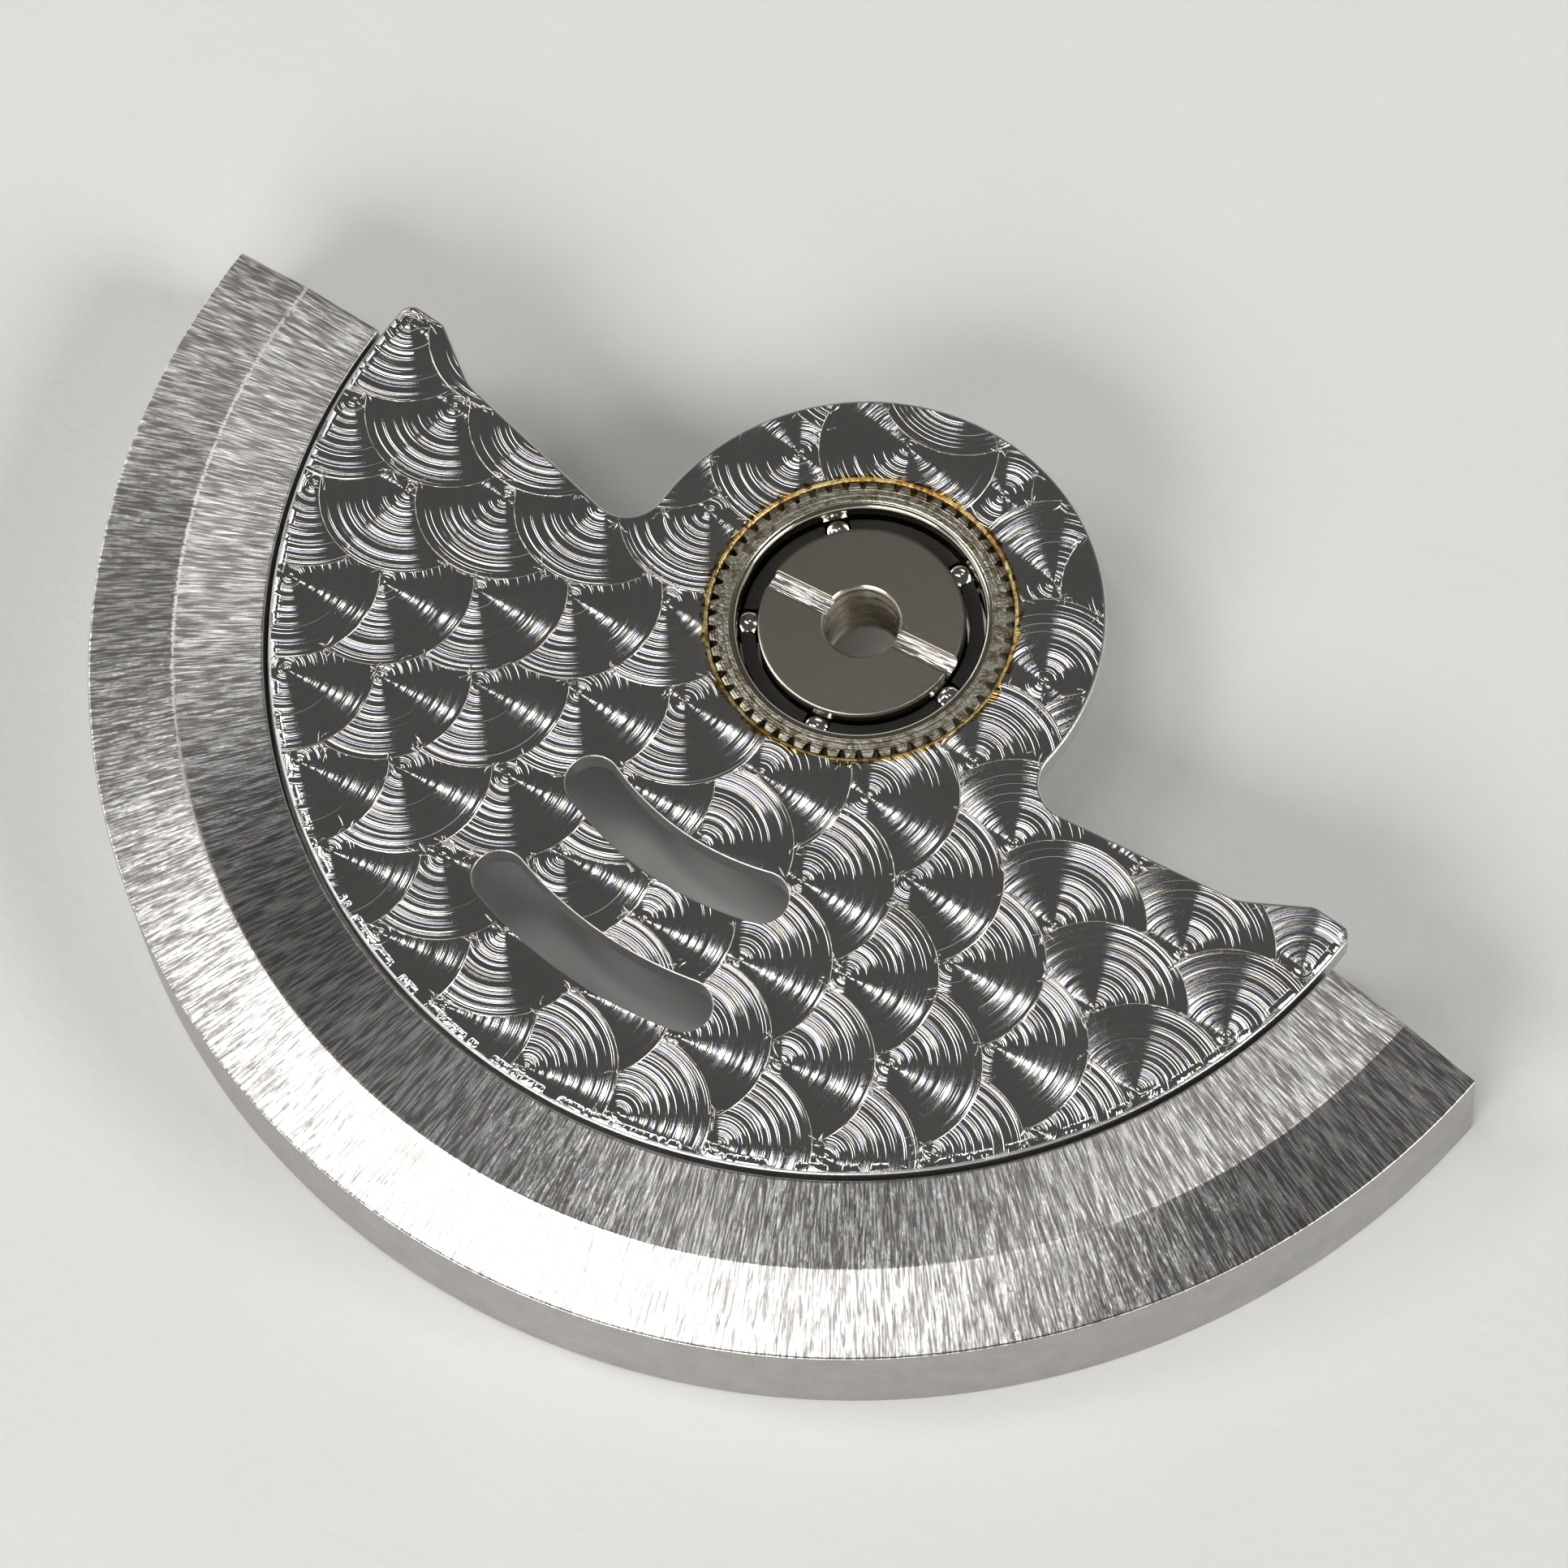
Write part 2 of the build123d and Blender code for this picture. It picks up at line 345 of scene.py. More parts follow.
edge_sets = [plate_loops(plate_edge, 1, RIM_BREAK), plate_loops(bore_edge, -1, BORE_BREAK)]
edge_sets += [plate_loops(edge, -1, SLOT_BREAK) for edge in slot_edges]
plate_points, plate_faces = [], []
for number, loops in enumerate(edge_sets):
    first = point_count(plate_points)
    walls = skin(len(loops), len(loops[0]), first)
    plate_points += loops
    plate_faces += [face[::-1] for face in walls] if number == 0 else walls
wall_count = len(plate_faces)
for side, level in ((0, PLATE_SKIN), (-1, PLATE_BOTTOM)):
    outlines = [loops[side][:, :2] for loops in edge_sets]
    made, triangles = fill(outlines)
    first = point_count(plate_points)
    plate_points.append(lift(made, level))
    step = 1 if side == 0 else -1
    plate_faces += [list(first + triangle)[::step] for triangle in triangles]
skin_count = len(plate_faces)

# %% [markdown]
# ## Burrs round the pearled spots
#
# Pearling is pressed on the plate with a small turning abrasive peg, spot after spot, in rings round the
# axis. The peg was led clockwise from the top of the hub, on five rings of 35, 29, 23, 17 and 11 spots,
# and each spot covers a part of the ones before it. So of each spot only a scale stays visible, and its
# rim is pushed up in a hair-thin burr. Where rims cross, torn metal stands up in little stars. The burrs
# are real ridges here, a few thousandths of a millimetre high: each follows a line on the plate, and its
# height wavers as torn metal does.

# %% Spots
SPOT_RADIUS, SPOT_START = 1.50, 238.6
OUTER_RING, RING_STEP, OUTER_SPOTS, FEWER_SPOTS = 9.50, 1.57, 35, 6
NO_SPOT, ALMOST_ROUND = -999.0, 359.9
spot_rings = []
for inwards in range(5):
    count = OUTER_SPOTS - FEWER_SPOTS * inwards
    last = SPOT_START + 360 / count * int((360 - SPOT_START) / (360 / count))
    spot_rings.append((OUTER_RING - RING_STEP * inwards, count, 360 / count, last))


def last_spot(places):
    """For flat points, the ring radius and clockwise angle of the last spot that covers each."""
    radius = np.hypot(places[:, 0], places[:, 1])
    clockwise = np.degrees(np.arctan2(places[:, 0], places[:, 1])) % 360
    best, best_ring = np.full(len(places), NO_SPOT), np.zeros(len(places))
    for ring_radius, _, apart, last in spot_rings:
        ratio = (radius ** 2 + ring_radius ** 2 - SPOT_RADIUS ** 2) / (2 * radius * ring_radius)
        reach = np.degrees(np.arccos(np.clip(ratio, -1, 1)))
        far = np.minimum(clockwise + reach, ALMOST_ROUND)
        spot = SPOT_START + apart * np.floor((far - SPOT_START) / apart)
        spot = np.where((ratio < 1) & (spot > clockwise - reach), spot, NO_SPOT)
        spot = np.where((ratio < 1) & (reach + last - 360 > clockwise), last, spot)
        best_ring = np.where(spot > best, ring_radius, best_ring)
        best = np.maximum(spot, best)
    return best_ring, best


def on_plate(places, margin=0.03):
    """Which flat points lie on the plate's top, away from its edges."""
    kept = inside(places, plate_edge - outward(plate_edge) * (RIM_BREAK + margin))
    kept &= np.hypot(places[:, 0], places[:, 1]) > PLATE_BORE + BORE_BREAK + margin
    for edge in slot_edges:
        kept &= ~inside(places, edge + outward(edge) * (SLOT_BREAK + margin))
    return kept


# %% Burrs
BURR_WIDTHS, BURR_HEIGHT = (0.014, 0.024), 0.006
STAR_WIDTHS, STAR_LENGTHS, STAR_HEIGHT, STARS_APART = (0.02, 0.04), (0.07, 0.24), 0.010, 0.12
CHIP_WIDTHS, CHIP_HEIGHT = (0.05, 0.09), 0.010

dice = np.random.default_rng(11)
burr_points, burr_faces = [], []


def burr(path, width, height):
    """A thin ridge along a flat path. Its height wavers, and it ends in points."""
    path = np.asarray(path)
    along = np.gradient(path, axis=0)
    along /= np.linalg.norm(along, axis=1)[:, None]
    across = np.column_stack((-along[:, 1], along[:, 0]))
    taper = np.minimum(np.arange(len(path)), np.arange(len(path))[::-1]) / 2
    waver = np.clip(dice.normal(0.75, 0.25, len(path)), 0.25, 1) * np.clip(taper, 0.05, 1)
    wander = across * dice.normal(0, 0.10 * width, len(path))[:, None]
    first = point_count(burr_points)
    half = across * width / 2
    foot = PLATE_SKIN - 0.001
    rows = [lift(path - half, foot), lift(path + wander, PLATE_SKIN + height * waver),
            lift(path + half, foot)]
    burr_points.extend(rows)
    burr_faces.extend(skin(3, len(path), first, close_columns=False))


crossings = []
for ring_radius, count, apart, _ in spot_rings:
    for number in range(count):
        clockwise = (SPOT_START + apart * number) % 360
        middle = ring_radius * np.array((sin(radians(clockwise)), cos(radians(clockwise))))
        rim = middle + arc((0, 0), SPOT_RADIUS - 0.004, 0, 360, 240)[:-1]
        ring_of, spot_of = last_spot(rim)
        shown = (np.abs(spot_of - clockwise) < 0.01) & (np.abs(ring_of - ring_radius) < 0.01)
        shown &= on_plate(rim)
        if not shown.any() or shown.all():
            continue
        start = int(np.flatnonzero(shown & ~np.roll(shown, 1))[0])
        rim, shown = np.roll(rim, -start, 0), np.roll(shown, -start)
        breaks = np.flatnonzero(np.diff(shown.astype(int))) + 1
        for run in np.split(np.arange(len(rim)), breaks):
            if shown[run[0]] and len(run) > 5:
                burr(rim[run], dice.uniform(*BURR_WIDTHS), BURR_HEIGHT)
                crossings += [rim[run[0]], rim[run[-1]]]
kept = []
for place in crossings:
    if all(np.linalg.norm(place - other) > STARS_APART for other in kept):
        kept.append(place)
for place in kept:
    for _ in range(dice.integers(4, 8)):
        turn_by, length = dice.uniform(0, 2 * pi), dice.uniform(*STAR_LENGTHS)
        start = place + dice.normal(0, 0.055, 2)
        bend = dice.normal(0, 0.35)
        steps = np.linspace(0, 1, 6)
        heading = turn_by + bend * steps
        path = start + length * np.column_stack((steps * np.cos(heading), steps * np.sin(heading)))
        if on_plate(path, 0.0).all():
            burr(path, dice.uniform(*STAR_WIDTHS), STAR_HEIGHT)
rim_line = plate_edge - outward(plate_edge) * (RIM_BREAK + 0.005)
rim_angle = np.degrees(np.arctan2(rim_line[:, 0], rim_line[:, 1])) % 360
on_rim = np.hypot(rim_line[:, 0], rim_line[:, 1]) > PLATE_RIM - 0.2
for clockwise in SPOT_START + 360 / OUTER_SPOTS * np.arange(OUTER_SPOTS):
    start = (clockwise + dice.uniform(2.5, 4.5)) % 360
    chip = on_rim & (rim_angle > start) & (rim_angle < start + dice.uniform(1.8, 3.4))
    if chip.sum() > 2:
        burr(rim_line[chip], dice.uniform(*CHIP_WIDTHS), CHIP_HEIGHT)
print(f"{len(kept)} crossings, {len(burr_faces)} faces in the burrs")

first = point_count(plate_points)
plate_points += burr_points
plate_faces += (first + np.array(burr_faces)).tolist()
pearled_plate = make_piece("pearled_plate", np.vstack(plate_points), plate_faces, "rotor",
                           "rotor_plate")
bpy.context.view_layer.update()

# %% [markdown]
# ## The bearing's outer ring
#
# The ring has 54 teeth all round, which drive the winding wheels below the plate. Where it is pressed in
# the plate's bore, the gaps between the teeth stay open and show as dark wedges. The bore's lip is
# polished and rounded. The mesh runs round the ring's section in loops, and each loop follows the teeth
# as far as it lies among them.

# %% Toothed ring
TEETH, ROOT_HALF = 54, 0.03
LIP_ROUND, TOP_ROUND, TIP_BREAK, FOOT_BREAK = 0.10, 0.03, 0.02, 0.04
flank = tan(radians(20))


def tooth_loop(radius, height):
    """One loop round the ring. Outside the gaps' root it dips into each of the 54 gaps."""
    points = []
    for tooth in range(TEETH):
        middle = 360 / TEETH * tooth
        half_root = degrees(asin(ROOT_HALF / RING_ROOT))
        half_mouth = degrees(asin((ROOT_HALF + max(radius - RING_ROOT, 0) * flank) / radius))
        land = 180 / TEETH
        root = min(radius, RING_ROOT)
        for angle, reach in ((-half_mouth, radius), (-half_root, root), (0, root), (half_root, root),
                             (half_mouth, radius), ((half_mouth + land) / 2, radius), (land, radius),
                             ((half_mouth + land) / -2 + 2 * land, radius)):
            a = radians(middle + angle)
            points.append((reach * cos(a), reach * sin(a), height))
    return np.array(points)


lip = arc((RING_BORE + LIP_ROUND, RING_TOP - LIP_ROUND), LIP_ROUND, 180, 90, 6)
groove = arc((PITCH_RADIUS, RACE_HEIGHT), GROOVE_RADIUS, -degrees(groove_half), degrees(groove_half), 16)
ring_section = np.vstack([
    [(RING_BORE, RING_TOP - LIP_ROUND - 0.03)], lip,
    [(RING_BORE + LIP_ROUND + 0.02, RING_TOP), (RING_ROOT - TOP_ROUND, RING_TOP)],
    arc((RING_SEAT - TOP_ROUND, RING_TOP - TOP_ROUND), TOP_ROUND, 90, 0, 3),
    [(RING_SEAT, PLATE_BOTTOM), (TOOTH_TIP - TIP_BREAK, PLATE_BOTTOM),
     (TOOTH_TIP, PLATE_BOTTOM - TIP_BREAK), (TOOTH_TIP, RING_BOTTOM + FOOT_BREAK),
     (TOOTH_TIP - FOOT_BREAK, RING_BOTTOM), (RING_ROOT - 0.03, RING_BOTTOM),
     (RING_BORE + FOOT_BREAK, RING_BOTTOM), (RING_BORE, RING_BOTTOM + FOOT_BREAK)], groove])
ring_points = np.vstack([tooth_loop(radius, height) for radius, height in ring_section])
ring_faces = skin(len(ring_section), TEETH * 8, close_rows=True)
toothed_ring = make_piece("toothed_ring", ring_points, [face[::-1] for face in ring_faces], "rotor",
                          "bearing_outer_ring")

# %% [markdown]
# ## The core
#
# The core is the fixed inner race. It is screwed on a post of the movement, so it has a threaded hole and a
# slot for the screwdriver right across its top. The top skin is laid out flat first, over circles and the
# slot's lines, and then each point gets its height from the shape of the chamfers and the slot. The thread
# is a real helix: the hole's radius swells and shrinks once for each turn.

# %% Core's top
SLOT_TURN = radians(8.05)
SLOT_HALF, SLOT_DEPTH = 0.15, 0.15
TOP_RADII = (HOLE_RADIUS, 0.640, 0.665, 1.68, 1.705, CORE_RADIUS)
TOP_DROPS = (0.050, 0.022, 0, 0, 0.010, 0.035)
OFF_MIDDLE = (0.137, 0.147, 0.151, 0.157, 0.168)
SLOT_DROPS = (SLOT_DEPTH, SLOT_DEPTH - 0.008, 0.016, 0.005, 0)
across_slot = np.array((-sin(SLOT_TURN), cos(SLOT_TURN)))
along_slot = np.array((cos(SLOT_TURN), sin(SLOT_TURN)))


def core_height(points):
    """Height of the core's top skin at flat points."""
    radius = np.hypot(points[:, 0], points[:, 1])
    drop = np.interp(radius, TOP_RADII, TOP_DROPS)
    slot_drop = np.interp(np.abs(points @ across_slot), OFF_MIDDLE, SLOT_DROPS)
    return CORE_TOP - np.maximum(drop, slot_drop)


core_steps = 240
circles = [arc((0, 0), radius, 0, 360, core_steps)[:-1]
           for radius in sorted((*TOP_RADII, 0.685, 1.66), reverse=True)]
slot_runs = []
for off in (0.120, *OFF_MIDDLE, 0.185):
    for sign in (1, -1):
        for side in (1, -1):
            near = sqrt(HOLE_RADIUS ** 2 - off ** 2) * side
            far = sqrt(CORE_RADIUS ** 2 - off ** 2) * side
            slot_runs.append([sign * off * across_slot + along_slot * s
                              for s in np.linspace(near, far, 12)])
flat, flat_triangles = stitch([(c, True) for c in circles] + [(r, False) for r in slot_runs], 1e-6)
middle_radius = np.linalg.norm(flat[flat_triangles].mean(1), axis=1)
flat_triangles = flat_triangles[(middle_radius > HOLE_RADIUS * 0.9999) & (middle_radius < CORE_RADIUS)]
top_radius = np.linalg.norm(flat, axis=1)


def in_turn(chosen):
    """The numbers of the chosen points in turn round the axis, and their angles."""
    numbers = np.flatnonzero(chosen)
    angles = np.arctan2(flat[numbers, 1], flat[numbers, 0])
    order = np.argsort(angles)
    return numbers[order], angles[order]


outer_numbers, outer_angles = in_turn(top_radius > CORE_RADIUS - 0.0006)
inner_numbers, inner_angles = in_turn(top_radius < HOLE_RADIUS + 0.0003)
core_skin = lift(flat, core_height(flat))
print("The core's top:", len(flat_triangles), "triangles")

# %% Core's sides and thread
core_points = [core_skin]
core_faces = flat_triangles.tolist()


def hang_wall(edge_numbers, rows):
    """Faces from an edge of the top skin down through rows of points that lie under it."""
    first = point_count(core_points)
    core_points.extend(rows)
    under = first + np.arange(len(edge_numbers))
    faces = np.stack((edge_numbers, np.roll(edge_numbers, -1), np.roll(under, -1), under), -1)
    return faces.tolist() + skin(len(rows), len(edge_numbers), first)


def ring_at(angles, radius, height):
    return np.column_stack((radius * np.cos(angles), radius * np.sin(angles),
                            np.broadcast_to(height, len(angles))))


core_groove = arc((PITCH_RADIUS, RACE_HEIGHT), GROOVE_RADIUS, 180 - degrees(groove_half), 180, 8)
side_section = np.vstack([core_groove, [(NECK_RADIUS, RACE_HEIGHT)], [(NECK_RADIUS, 0.05)],
                          [(NECK_RADIUS - 0.05, 0)], [(HOLE_RADIUS + 0.08, 0)]])
core_faces += [face[::-1] for face in
               hang_wall(outer_numbers, [ring_at(outer_angles, r, z) for r, z in side_section])]

THREAD_PITCH, THREAD_DEPTH, THREAD_FADE = 0.27, 0.075, 0.06
top_of_hole = core_skin[inner_numbers, 2]
thread_rows = []
for share in np.linspace(1, 0, 73)[1:]:
    height = top_of_hole * share
    wave = (height / THREAD_PITCH + inner_angles / (2 * pi)) % 1
    swell = np.clip(np.abs(wave - 0.5) * 2.6 - 0.2, 0, 1)
    fade = np.clip((top_of_hole - height) / THREAD_FADE, 0, 1)
    fade *= np.clip(height / THREAD_FADE + 0.3, 0, 1)
    thread_rows.append(ring_at(inner_angles, HOLE_RADIUS + THREAD_DEPTH * swell * fade, height))
core_faces += hang_wall(inner_numbers, thread_rows)
core = make_piece("slotted_core", np.vstack(core_points), core_faces, "inner_race",
                  "bearing_core", crease=25)

# %% [markdown]
# ## The balls
#
# Five lapped steel balls run between the races. Each starts as a cube whose sides are cut in a fine grid,
# and every point is then pushed out to the ball's radius. Such a ball has no poles, so its reflections
# are even all round.

# %% Balls
FIRST_BALL = -4.1

grid = np.linspace(-1, 1, 17)
cells = len(grid)
ball_points, ball_faces = [], []
for axis in range(3):
    for sign in (-1, 1):
        u, v = np.meshgrid(np.tan(grid * pi / 4), np.tan(grid * pi / 4), indexing="ij")
        side = np.full_like(u, sign)
        stack = [side, u * sign, v]
        xyz = np.stack([stack[(k - axis) % 3] for k in range(3)], -1).reshape(-1, 3)
        ball_faces += skin(cells, cells, len(ball_points) * cells * cells, close_columns=False)
        ball_points.append(xyz / np.linalg.norm(xyz, axis=1)[:, None])
ball_points = np.vstack(ball_points)
balls = []
for number in range(5):
    angle = radians(FIRST_BALL + 72 * number)
    middle = np.array((PITCH_RADIUS * cos(angle), PITCH_RADIUS * sin(angle), RACE_HEIGHT))
    name = f"ball_{number + 1}"
    balls.append(make_piece(f"lapped_{name}", middle + ball_points * BALL_RADIUS, ball_faces, name,
                            f"bearing_{name}", crease=60))

# %% [markdown]
# ## Node helpers
#
# A finish is a set of shader nodes. The small class below writes the wiring as short sums: each call adds
# one node and gives back its output. Effects that several metals share become node groups, which are
# built once and then placed in each material with their own values.

# %% Node helpers
class Wiring:
    """Adds nodes to one tree and links them."""

    def __init__(self, tree):
        self.tree = tree

    def node(self, kind, **settings):
        made = self.tree.nodes.new(kind)
        for key, value in settings.items():
            setattr(made, key, value)
        return made

    def feed(self, socket, value):
        if isinstance(value, bpy.types.NodeSocket):
            self.tree.links.new(value, socket)
        else:
            socket.default_value = value

    def send(self, sockets, **values):
        """Feeds sockets by their names. Underscores in the names stand for spaces."""
        for label, value in values.items():
            self.feed(sockets[label.replace("_", " ")], value)

    def sum(self, operation, *values):
        made = self.node("ShaderNodeMath", operation=operation)
        for socket, value in zip(made.inputs, values):
            self.feed(socket, value)
        return made.outputs[0]

    def length(self, x, y):
        """How long a flat vector is."""
        return self.sum("SQRT", self.sum("ADD", self.sum("MULTIPLY", x, x), self.sum("MULTIPLY", y, y)))

    def blend(self, share, a, b):
        """A number between a and b."""
        made = self.node("ShaderNodeMix", data_type="FLOAT")
        for name, value in (("Factor", share), ("A", a), ("B", b)):
            self.feed(made.inputs[name], value)
        return made.outputs["Result"]

    def tint(self, share, a, b):
        """A colour between a and b, which are other colour outputs or red, green and blue."""
        made = self.node("ShaderNodeMix", data_type="RGBA")
        self.feed(made.inputs[0], share)
        for socket, colour in zip(made.inputs[6:8], (a, b)):
            self.feed(socket, (*colour, 1) if isinstance(colour, tuple) else colour)
        return made.outputs[2]

    def scale(self, value, low, high, new_low=0.0, new_high=1.0):
        """Moves a number from one range to another and holds it there."""
        made = self.node("ShaderNodeMapRange")
        for number, given in enumerate((value, low, high, new_low, new_high)):
            self.feed(made.inputs[number], given)
        return made.outputs[0]

    def vector(self, x, y, z=0):
        made = self.node("ShaderNodeCombineXYZ")
        for socket, value in zip(made.inputs, (x, y, z)):
            self.feed(socket, value)
        return made.outputs[0]

    def parts(self, vector):
        """The x, y and z of a vector."""
        made = self.node("ShaderNodeSeparateXYZ")
        self.feed(made.inputs[0], vector)
        return made.outputs

    def times(self, vector, factor):
        """A vector times a number."""
        made = self.node("ShaderNodeVectorMath", operation="SCALE")
        self.feed(made.inputs[0], vector)
        self.feed(made.inputs["Scale"], factor)
        return made.outputs[0]

    def noise(self, place, size, detail=2.0, rough=0.5, flat="3D"):
        """Soft noise from 0 to 1. size is in turns per unit of the place that is fed in."""
        made = self.node("ShaderNodeTexNoise", noise_dimensions=flat)
        self.feed(made.inputs["W" if flat == "1D" else "Vector"], place)
        self.send(made.inputs, Scale=size, Detail=detail, Roughness=rough)
        return made.outputs["Fac"]


def new_group(name, inputs, outputs):
    """An empty node group. Each input and output has its name and its kind."""
    tree = bpy.data.node_groups.new(name, "ShaderNodeTree")
    for in_out, sockets in (("INPUT", inputs), ("OUTPUT", outputs)):
        for label, kind in sockets.items():
            tree.interface.new_socket(label, in_out=in_out, socket_type=f"NodeSocket{kind}")
    wires = Wiring(tree)
    print("Node group:", name)
    return tree, wires, wires.node("NodeGroupInput").outputs, wires.node("NodeGroupOutput").inputs


def place_group(wires, tree, **values):
    """Puts a group in a material, feeds its inputs and gives back its outputs."""
    made = wires.node("ShaderNodeGroup", node_tree=tree)
    wires.send(made.inputs, **values)
    return made.outputs


# %% [markdown]
# ## Where a point lies on the rotor
#
# Everything on the rotor was turned, brushed or pearled round one axis. The first group therefore
# changes a point's place into millimetres from the axis and degrees clockwise from the top of the hub. It
# also gives the directions outward and sideways there, along which scratches lean.

# %% Group: turned place
turned_place, w, given, out = new_group(
    "Turned place", {}, {"Place": "Vector", "Radius": "Float", "Clockwise": "Float",
                         "Outward": "Vector", "Sideways": "Vector"})
place = w.times(w.node("ShaderNodeTexCoord").outputs["Object"], 1 / MM)
x, y, _ = w.parts(place)
radius = w.length(x, y)
clockwise = w.sum("FLOORED_MODULO", w.sum("DEGREES", w.sum("ARCTAN2", x, y)), 360)
out_x, out_y = w.sum("DIVIDE", x, radius), w.sum("DIVIDE", y, radius)
w.send(out, Place=place, Radius=radius, Clockwise=clockwise, Outward=w.vector(out_x, out_y),
       Sideways=w.vector(out_y, w.sum("MULTIPLY", out_x, -1)))

# %% [markdown]
# ## Fine grain
#
# No metal is quite even. Polishing paste, oil and handling leave soft patches where the surface is a
# little rougher, and thousands of tiny pits. This group gives a soft mask for the patches, a fine height
# for the pits, and a mask of the few deepest specks.

# %% Group: fine grain
fine_grain, w, given, out = new_group(
    "Fine grain", {"Place": "Vector", "Patch size": "Float", "Grain size": "Float"},
    {"Patches": "Float", "Height": "Float", "Specks": "Float"})
patches = w.noise(given["Place"], w.sum("DIVIDE", 1, given["Patch size"]), 3, 0.6)
pits = w.noise(given["Place"], w.sum("DIVIDE", 1, given["Grain size"]), 2, 0.5)
w.send(out, Patches=w.scale(patches, 0.3, 0.7), Height=pits, Specks=w.scale(pits, 0.62, 0.72))

# %% [markdown]
# ## Brushed lines
#
# A brushed face is a field of long, fine scratches, most of them finer than a pixel. The group stretches
# noise along one direction, and gives for each point how steeply the scratch's flank leans. Three sizes
# are laid over each other, because abrasive grains are never all alike.

# %% Group: brushed lines
LINE_LAYERS = ((1.0, 1.0, 0.8, 0.0), (2.2, 3.0, 0.4, 7.3), (0.6, 0.9, 0.9, 3.1))

brushed_lines, w, given, out = new_group(
    "Brushed lines", {"Across": "Float", "Along": "Float", "Line width": "Float",
                      "Line length": "Float", "Seed": "Float"}, {"Lean": "Float"})
lean = 0.0
for wider, longer, weight, seed in LINE_LAYERS:
    across = w.sum("DIVIDE", given["Across"], w.sum("MULTIPLY", given["Line width"], wider))
    along = w.sum("DIVIDE", given["Along"], w.sum("MULTIPLY", given["Line length"], longer))
    place = w.vector(across, along, w.sum("ADD", given["Seed"], seed))
    layer = w.sum("SUBTRACT", w.noise(place, 1.0, 2, 0.55), 0.5)
    lean = w.sum("MULTIPLY_ADD", layer, weight, lean)
w.send(out, Lean=lean)

# %% [markdown]
# ## Leaning normals
#
# A bump map is measured from pixel to pixel, so it misses scratches that are finer than that. Here the
# lean of the scratch goes straight on the surface's normal. Many samples in a pixel then meet many
# different leans, and the reflection smears across the scratches, as it does on real brushed metal.

# %% Group: leaning normal
leaning_normal, w, given, out = new_group(
    "Leaning normal", {"Direction": "Vector", "Lean": "Float", "Second direction": "Vector",
                       "Second lean": "Float"}, {"Normal": "Vector"})
normal = w.node("ShaderNodeTexCoord").outputs["Normal"]
for direction, lean in (("Direction", "Lean"), ("Second direction", "Second lean")):
    added = w.node("ShaderNodeVectorMath", operation="ADD")
    w.feed(added.inputs[0], normal)
    w.feed(added.inputs[1], w.times(given[direction], given[lean]))
    normal = added.outputs[0]
to_world = w.node("ShaderNodeVectorTransform", vector_type="NORMAL", convert_from="OBJECT",
                  convert_to="WORLD")
w.feed(to_world.inputs[0], normal)
w.send(out, Normal=to_world.outputs[0])

# %% [markdown]
# ## Pearling
#
# The group repeats in nodes what last_spot does in Python. For each point it finds the last spot that
# covers it: on each ring that is the furthest spot clockwise within reach, and of the five rings the
# furthest wins. It gives the distance to that spot's middle, from which the fine circles of the peg
# follow, the direction away from the middle, and a chance number of the spot's own.

# %% Group: pearled spots
pearled_spots, w, given, out = new_group(
    "Pearled spots", {"Place": "Vector", "Radius": "Float", "Clockwise": "Float"},
    {"Distance": "Float", "Outward": "Vector", "Chance": "Float"})
winner, winner_ring = None, None
for ring_radius, _, apart, last in spot_rings:
    squares = w.sum("MULTIPLY_ADD", given["Radius"], given["Radius"], ring_radius ** 2 - SPOT_RADIUS ** 2)
    ratio = w.sum("DIVIDE", squares, w.sum("MULTIPLY", given["Radius"], 2 * ring_radius))
    reach = w.sum("DEGREES", w.sum("ARCCOSINE", w.sum("MINIMUM", ratio, 1.0)))
    covered = w.sum("LESS_THAN", ratio, 1.0)
    far = w.sum("MINIMUM", w.sum("ADD", given["Clockwise"], reach), ALMOST_ROUND)
    steps = w.sum("FLOOR", w.sum("DIVIDE", w.sum("SUBTRACT", far, SPOT_START), apart))
    spot = w.sum("MULTIPLY_ADD", steps, apart, SPOT_START)
    near = w.sum("SUBTRACT", given["Clockwise"], reach)
    valid = w.sum("MULTIPLY", covered, w.sum("GREATER_THAN", spot, near))
    spot = w.blend(valid, NO_SPOT, spot)
    wrapped = w.sum("GREATER_THAN", w.sum("ADD", reach, last - 360), given["Clockwise"])
    spot = w.blend(w.sum("MULTIPLY", covered, wrapped), spot, last)
    if winner is None:
        winner, winner_ring = spot, ring_radius
    else:
        better = w.sum("GREATER_THAN", spot, winner)
        winner_ring = w.blend(better, winner_ring, ring_radius)
        winner = w.sum("MAXIMUM", spot, winner)
spot_angle = w.sum("RADIANS", winner)
x, y, _ = w.parts(given["Place"])
off_x = w.sum("SUBTRACT", x, w.sum("MULTIPLY", winner_ring, w.sum("SINE", spot_angle)))
off_y = w.sum("SUBTRACT", y, w.sum("MULTIPLY", winner_ring, w.sum("COSINE", spot_angle)))
distance = w.length(off_x, off_y)
chance = w.node("ShaderNodeTexWhiteNoise", noise_dimensions="2D")
w.send(chance.inputs, Vector=w.vector(w.sum("ROUND", winner), w.sum("ROUND", winner_ring)))
w.send(out, Distance=distance, Chance=chance.outputs["Value"],
       Outward=w.vector(w.sum("DIVIDE", off_x, distance), w.sum("DIVIDE", off_y, distance)))

# %% [markdown]
# ## Bare brass
#
# Where the ring was pressed in the plate's bore, the plating has flaked and the brass shows, golden in some
# places and brown with old oil in others. The plate's top and its sides share this group.

